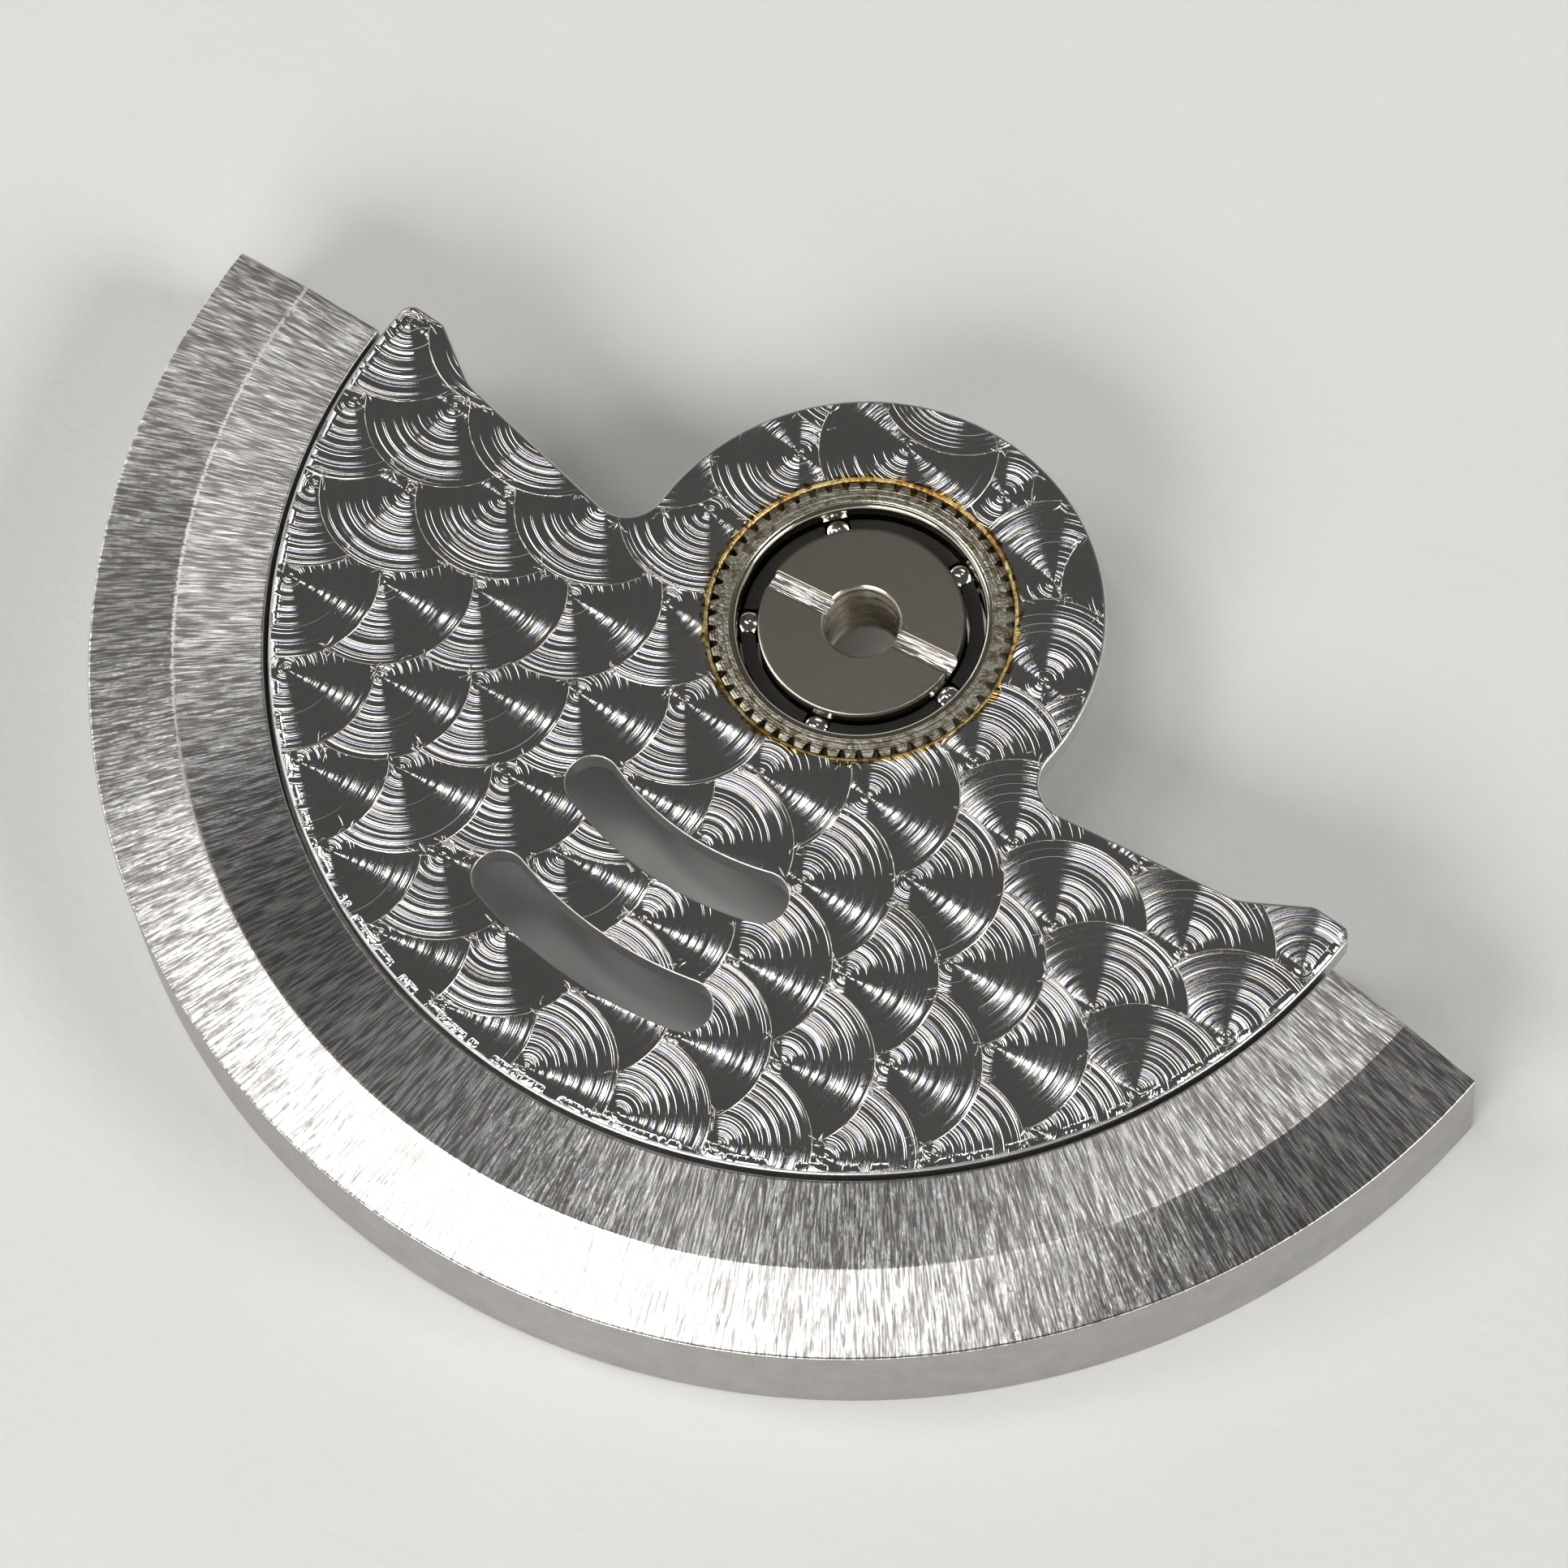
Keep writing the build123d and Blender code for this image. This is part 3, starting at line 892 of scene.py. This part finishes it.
# %% Group: bare brass
BRASS_GOLDEN, BRASS_BROWN, OLD_OIL = (0.86, 0.74, 0.36), (0.52, 0.28, 0.08), (0.16, 0.10, 0.04)
FLAKED_RIM = PLATE_BORE + 0.29

bare_brass, w, given, out = new_group(
    "Bare brass", {"Place": "Vector", "Radius": "Float", "Plating": "Color"},
    {"Colour": "Color", "Worn": "Float"})
ragged = w.sum("MULTIPLY_ADD", w.noise(given["Place"], 4.0, 4, 0.65), 0.34, given["Radius"])
worn = w.scale(ragged, FLAKED_RIM - 0.02, FLAKED_RIM + 0.02, 1, 0)
browned = w.scale(w.noise(given["Place"], 1.3, 3, 0.6), 0.40, 0.62)
oily = w.scale(w.noise(given["Place"], 9.0, 3, 0.6), 0.50, 0.62)
brass = w.tint(oily, w.tint(browned, BRASS_GOLDEN, BRASS_BROWN), OLD_OIL)
w.send(out, Colour=w.tint(worn, given["Plating"], brass), Worn=worn)

# %% [markdown]
# ## Materials
#
# A metal in Blender is a Principled shader with Metallic at 1: the colour is what it reflects straight
# back, and roughness spreads the reflection. Each material starts with its place on the rotor and its own
# fine grain, whose patches and pits are given in millimetres. The grain goes through a Bump node, whose
# distance is in metres.

# %% Material helpers
def metal(name, colour, roughness, patch_size=None, pit_size=None):
    """A metal with its wiring, its shader's sockets, its place on the rotor and, given sizes, its grain."""
    material = bpy.data.materials.new(name)
    material.use_nodes = True
    wires = Wiring(material.node_tree)
    shader = material.node_tree.nodes["Principled BSDF"]
    wires.send(shader.inputs, Base_Color=(*colour, 1), Metallic=1.0, Roughness=roughness)
    here, grain = place_group(wires, turned_place), None
    if patch_size:
        grain = place_group(wires, fine_grain, Place=here["Place"], Patch_size=patch_size,
                            Grain_size=pit_size)
    print("Material:", name)
    return material, wires, shader.inputs, here, grain


def bump(wires, shader, height, depth_mm, **normal):
    """Feeds a height to the shader's normal. depth_mm is the height in millimetres of one unit."""
    made = wires.node("ShaderNodeBump")
    wires.send(made.inputs, Distance=depth_mm * MM, Height=height, **normal)
    wires.send(shader, Normal=made.outputs[0])


# %% [markdown]
# ## The plate's finishes
#
# On the top, the peg's circles lean away from each spot's middle: broad waves that wander in width, and
# fine circles over them. The waves tint the plating a little warm and cool. Along the outer rim the edge is
# rolled over in chips, which flash white.

# %% Pearled top
WAVE_PITCH, WAVE_LEAN, WAVE_WANDER = 0.155, 0.10, 6.0
CIRCLES_PER_MM, CIRCLE_LEAN = 55.0, 1.25
CHIP_LEAN, CHIPS_PER_DEGREE = 0.75, 0.35
PLATING_WARM, PLATING_COOL = (0.73, 0.715, 0.69), (0.69, 0.69, 0.76)

pearled_top, w, shader, here, grain = metal("pearled_plating", PLATING_WARM, 0.07, 1.4, 0.025)
spot = place_group(w, pearled_spots, Place=here["Place"], Radius=here["Radius"],
                   Clockwise=here["Clockwise"])
uneven = w.noise(w.sum("MULTIPLY_ADD", spot["Distance"], 4.0, spot["Chance"]), 1.0, 2, flat="1D")
phase = w.sum("MULTIPLY_ADD", spot["Distance"], 2 * pi / WAVE_PITCH,
              w.sum("MULTIPLY", uneven, WAVE_WANDER))
waves = w.sum("MULTIPLY", w.sum("SINE", phase), WAVE_LEAN)
shift = w.sum("MULTIPLY", spot["Chance"], 37.0)
circles = w.noise(w.sum("MULTIPLY_ADD", spot["Distance"], CIRCLES_PER_MM, shift), 1.0, 1, flat="1D")
lean = w.sum("MULTIPLY_ADD", w.sum("SUBTRACT", circles, 0.5), CIRCLE_LEAN, waves)
near_rim = w.scale(here["Radius"], PLATE_RIM - 0.20, PLATE_RIM - 0.06)
chipped = w.scale(w.noise(here["Clockwise"], CHIPS_PER_DEGREE, 2, flat="1D"), 0.44, 0.50)
rolled_over = w.sum("MULTIPLY", w.sum("MULTIPLY", near_rim, chipped), CHIP_LEAN)
normal = place_group(w, leaning_normal, Direction=spot["Outward"], Lean=lean,
                     Second_direction=here["Outward"], Second_lean=rolled_over)
cool = w.scale(w.sum("SINE", w.sum("MULTIPLY", phase, 0.5)), 0.2, 1)
bare = place_group(w, bare_brass, Place=here["Place"], Radius=here["Radius"],
                   Plating=w.tint(cool, PLATING_WARM, PLATING_COOL))
w.send(shader, Normal=normal["Normal"], Roughness=w.scale(grain["Patches"], 0, 1, 0.05, 0.09),
       Base_Color=bare["Colour"])

# %% Burrs and sides of the plate
torn_burrs, w, shader, here, grain = metal("torn_burrs", (0.74, 0.72, 0.70), 0.18, 0.10, 0.015)
bump(w, shader, grain["Height"], 0.004)

PLATED_SIDE = (0.66, 0.65, 0.64)
plate_side, w, shader, here, grain = metal("plated_side", PLATED_SIDE, 0.35, 0.8, 0.04)
bare = place_group(w, bare_brass, Place=here["Place"], Radius=here["Radius"], Plating=(*PLATED_SIDE, 1))
w.send(shader, Base_Color=bare["Colour"])
bump(w, shader, w.sum("MULTIPLY", grain["Height"], w.sum("ADD", bare["Worn"], 0.4)), 0.018)

for material in (pearled_top, plate_side, torn_burrs):
    pearled_plate.data.materials.append(material)
finishes = np.zeros(len(plate_faces), np.int32)
finishes[:wall_count] = 1
finishes[skin_count:] = 2
pearled_plate.data.polygons.foreach_set("material_index", finishes)

# %% [markdown]
# ## The segment's finishes
#
# The bevel and the band are brushed outward, so their lines lean sideways. Anisotropic spreads the
# reflection across the lines, and it needs a direction at every point: Blender takes it from the mesh's
# texture space, which is therefore centred on the axis. Some lines are scored darker or brighter than
# the rest. The corner between bevel and band has a painted highlight on one half: it is painted paler
# there, and made rougher. The walls are frosted: matt and finely pitted.

# %% Brushed alloy
LINE_WIDTH, LINE_LENGTH, LINE_LEAN = 0.036, 0.5, 0.34
DASH_LENGTH, DASH_LEAN = 0.10, 0.08
SCORE_WIDTH, SCORE_LENGTH = 0.050, 0.55
# The third colour is a painted highlight for one half of the corner between bevel and band.
ALLOY_DARK, ALLOY_BRIGHT, ALLOY_PAINTED_HIGHLIGHT = (0.34, 0.325, 0.31), (0.96, 0.94, 0.92), (0.90, 0.84, 0.78)
BRUSHED, CORNER_ROUGHNESS, BAND_MIDDLE = 0.25, 0.5, 11

heavy_segment.data.use_auto_texspace = False
heavy_segment.data.texspace_location = (0, 0, 0)
heavy_segment.data.texspace_size = (WEIGHT_RIM * MM,) * 3

brushed_alloy, w, shader, here, _ = metal("brushed_heavy_alloy", ALLOY_BRIGHT, BRUSHED)
arc_mm = w.sum("MULTIPLY", here["Clockwise"], pi / 180 * BAND_MIDDLE)


def radial_lines(width, length, seed):
    """The lean of brushed lines that run outward."""
    return place_group(w, brushed_lines, Across=arc_mm, Along=here["Radius"], Line_width=width,
                       Line_length=length, Seed=seed)["Lean"]


lines = radial_lines(LINE_WIDTH, LINE_LENGTH, 0.0)
dashes = radial_lines(LINE_WIDTH, DASH_LENGTH, 5.0)
scores = radial_lines(SCORE_WIDTH, SCORE_LENGTH, 9.0)
normal = place_group(w, leaning_normal, Direction=here["Sideways"],
                     Lean=w.sum("MULTIPLY", lines, LINE_LEAN), Second_direction=here["Outward"],
                     Second_lean=w.sum("MULTIPLY", dashes, DASH_LEAN))
off_corner = w.sum("ABSOLUTE", w.sum("SUBTRACT", here["Radius"], WEIGHT_BAND))
# A painted highlight: on one half, the corner between bevel and band is painted paler and made rougher.
corner_highlight = w.scale(w.sum("MULTIPLY_ADD", dashes, 0.16, off_corner), 0.008, 0.03, 1, 0)
corner_highlight = w.sum("MULTIPLY", corner_highlight, w.scale(here["Clockwise"], 175, 215))
scored = w.tint(w.scale(scores, -0.10, 0.12), ALLOY_DARK, ALLOY_BRIGHT)
w.send(shader, Anisotropic=0.97, Normal=normal["Normal"], Roughness=w.blend(corner_highlight, BRUSHED, CORNER_ROUGHNESS),
       Base_Color=w.tint(corner_highlight, scored, ALLOY_PAINTED_HIGHLIGHT))

# %% Frosted alloy
frosted_alloy, w, shader, here, grain = metal("frosted_heavy_alloy", (0.44, 0.43, 0.41), 0.42, 0.5, 0.035)
spoiled = w.sum("MAXIMUM", grain["Specks"], w.sum("MULTIPLY", grain["Patches"], 0.35))
w.send(shader, Base_Color=w.tint(spoiled, (0.40, 0.39, 0.375), (0.60, 0.59, 0.57)))
bump(w, shader, grain["Height"], 0.016)

heavy_segment.data.materials.append(frosted_alloy)
heavy_segment.data.materials.append(brushed_alloy)
centres, normals = np.empty((2, len(weight_faces) * 3))
heavy_segment.data.polygons.foreach_get("center", centres)
heavy_segment.data.polygons.foreach_get("normal", normals)
faces_up = (normals[2::3] > 0.75) & (centres[2::3] > 1.3 * MM)
heavy_segment.data.polygons.foreach_set("material_index", faces_up.astype(np.int32))

# %% [markdown]
# ## The bearing's finishes
#
# The ring was turned in fine circles. Its lip is polished, and the rest is stained brown by old oil. The
# core is matt, apart from the slot, which a milling cutter left brighter and lined. The cage is oiled, and
# painted near black as painted shade of the narrow gap it sits in. The balls are lapped to a mirror.

# %% Ring
RING_CLEAN, RING_STAINED = (0.60, 0.57, 0.48), (0.28, 0.22, 0.14)
LIP_END = RING_BORE + LIP_ROUND + 0.02
TURNED_PER_MM, TURNED_LEAN = 28.0, 0.9

ring_steel, w, shader, here, grain = metal("turned_ring_steel", RING_CLEAN, 0.20, 0.16, 0.05)
past_lip = w.scale(here["Radius"], LIP_END - 0.02, LIP_END + 0.02)
stain = w.sum("MULTIPLY", past_lip, w.scale(grain["Patches"], 0.35, 0.75))
turned = w.noise(w.sum("MULTIPLY", here["Radius"], TURNED_PER_MM), 1.0, 2, flat="1D")
normal = place_group(w, leaning_normal, Direction=here["Outward"],
                     Lean=w.sum("MULTIPLY", w.sum("SUBTRACT", turned, 0.5), TURNED_LEAN))
w.send(shader, Base_Color=w.tint(stain, RING_CLEAN, RING_STAINED),
       Roughness=w.blend(past_lip, 0.14, 0.30))
bump(w, shader, w.sum("MULTIPLY", grain["Height"], past_lip), 0.008, Normal=normal["Normal"])
toothed_ring.data.materials.append(ring_steel)

# %% Core
CORE_GREY, SLOT_GREY, MILLED_LEAN = (0.52, 0.48, 0.41), (0.64, 0.62, 0.58), 1.8

core_steel, w, shader, here, grain = metal("matt_core_steel", CORE_GREY, 0.23, 0.5, 0.03)
x, y, _ = w.parts(here["Place"])
across = w.sum("MULTIPLY_ADD", y, cos(SLOT_TURN), w.sum("MULTIPLY", x, -sin(SLOT_TURN)))
along = w.sum("MULTIPLY_ADD", y, sin(SLOT_TURN), w.sum("MULTIPLY", x, cos(SLOT_TURN)))
in_slot = w.sum("MULTIPLY", w.sum("LESS_THAN", w.sum("ABSOLUTE", across), SLOT_HALF - 0.001),
                w.sum("GREATER_THAN", w.sum("ABSOLUTE", along), HOLE_RADIUS - 0.02))
milled = place_group(w, brushed_lines, Across=across, Along=along, Line_width=0.03, Line_length=0.8)
normal = place_group(w, leaning_normal, Direction=(*across_slot, 0),
                     Lean=w.sum("MULTIPLY", w.sum("MULTIPLY", milled["Lean"], in_slot), MILLED_LEAN))
w.send(shader, Base_Color=w.tint(in_slot, CORE_GREY, SLOT_GREY))
bump(w, shader, grain["Height"], 0.0008, Normal=normal["Normal"])
core.data.materials.append(core_steel)

# %% Cage and balls
# The cage's near-black colour is painted shade of the narrow gap between the races, over oiled steel.
cage_steel, w, shader, here, grain = metal("cage_steel_painted_shade", (0.05, 0.047, 0.045), 0.35, 0.3, 0.02)
bump(w, shader, grain["Height"], 0.005)

ball_steel, w, shader, here, grain = metal("lapped_ball_steel", (0.78, 0.78, 0.79), 0.06, 0.15, 0.02)
w.send(shader, Roughness=w.scale(grain["Patches"], 0, 1, 0.04, 0.10))
for ball in balls:
    ball.data.materials.append(ball_steel)

# %% [markdown]
# The solids get the same materials as the pieces that stand for them. Two of them, the cage and the cone,
# are shown as they are, because little of them can be seen.

# %% Finishes of the solids
finish_of = {"bearing_cone": core_steel, "ball_cage": cage_steel, "rotor_weight": frosted_alloy,
             "rotor_plate": plate_side, "bearing_outer_ring": ring_steel, "bearing_core": core_steel}
finish_of |= {f"bearing_ball_{number}": ball_steel for number in range(1, 6)}
for node, material in finish_of.items():
    worn_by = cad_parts[node].data.materials
    worn_by.clear()
    worn_by.append(material)
print(len(finish_of), "solids have their finish")

# %% [markdown]
# ## The table
#
# The rotor lies on a plain pale sheet. It is a shallow bowl far wider than the rotor, so that the sheet
# fills the picture from low angles too.

# %% Table
bowl_section = np.array([(60, TABLE), (150, TABLE), (260, TABLE), (330, 2), (390, 14), (450, 44),
                         (500, 100), (530, 180)], float)
bowl_points = [swing_round(bowl_section, angle) for angle in np.arange(0, 360, 5)]
rays, rings = len(bowl_points), len(bowl_section)
bowl_points = np.vstack([*bowl_points, [(0, 0, TABLE)]])
bowl_faces = []
for ray in range(rays):
    a, b = ray * rings, (ray + 1) % rays * rings
    bowl_faces.append([len(bowl_points) - 1, a, b])
    bowl_faces += [[a + k, a + k + 1, b + k + 1, b + k] for k in range(rings - 1)]
table_mesh = bpy.data.meshes.new("table")
table_mesh.from_pydata((bowl_points * MM).tolist(), [], bowl_faces)
table_mesh.shade_smooth()
table = bpy.data.objects.new("table", table_mesh)
scene.collection.objects.link(table)

PAPER_DARK, PAPER_LIGHT = (0.79, 0.78, 0.755), (0.81, 0.80, 0.775)
paper, w, shader, here, grain = metal("pale_sheet", PAPER_DARK, 0.75, 6.0, 0.25)
w.send(shader, Metallic=0, Base_Color=w.tint(grain["Patches"], PAPER_DARK, PAPER_LIGHT))
bump(w, shader, grain["Height"], 0.01)
table_mesh.materials.append(paper)
print("The table's bowl is", 2 * bowl_section[-1, 0] * MM, "m wide")

# %% [markdown]
# ## Light
#
# Polished metal shows the room. In the photograph its flat faces reflect a dim room, so the world is dark,
# and soft lamps light only what leans towards them. Three of them hang level, half a metre up: the tube
# and the main lamp fill the fans of the pearled spots and burn out a part of the bevel, and a narrow lamp
# draws the bright streaks of the spots. The other three face the rotor. The edge lamp stands low on the
# left and catches the chips of the plate's rim. The low lamp and the room lamp light the sheet and the
# walls.

# %% Lamps and room
def panel(name, centre, size, watts, turned=None):
    """A soft lamp. Places and sizes are in metres.

    A lamp with a number of degrees in turned hangs level, turned by so much. The others face the rotor."""
    lamp = bpy.data.lights.new(name, "AREA")
    lamp.shape = "RECTANGLE"
    lamp.size, lamp.size_y = size
    lamp.energy = watts
    made = bpy.data.objects.new(name, lamp)
    made.location = centre
    if turned is None:
        made.rotation_euler = (-Vector(centre)).to_track_quat("-Z", "Y").to_euler()
    else:
        made.rotation_euler = (0, 0, radians(turned))
    scene.collection.objects.link(made)


panel("tube_lamp", (-0.142, -0.026, 0.5), (0.19, 0.065), 0.27, turned=3)
panel("main_lamp", (-0.41, -0.17, 0.5), (0.25, 0.22), 0.80, turned=0)
panel("streak_lamp", (-0.039, 0.154, 0.5), (0.104, 0.012), 0.048, turned=8.5)
panel("edge_lamp", (-0.41, 0.015, 0.10), (0.20, 0.05), 0.15)
panel("low_lamp", (0.05, -0.6, 0.35), (0.5, 0.25), 3.15)
panel("room_lamp", (0.72, 0.15, 0.35), (0.4, 0.4), 5.0)

world = bpy.data.worlds.new("dim_room")
scene.world = world
world.use_nodes = True
room = world.node_tree.nodes["Background"]
room.inputs["Color"].default_value = (1.0, 0.97, 0.92, 1)
room.inputs["Strength"].default_value = 0.083
print(len(bpy.data.lights), "lamps")
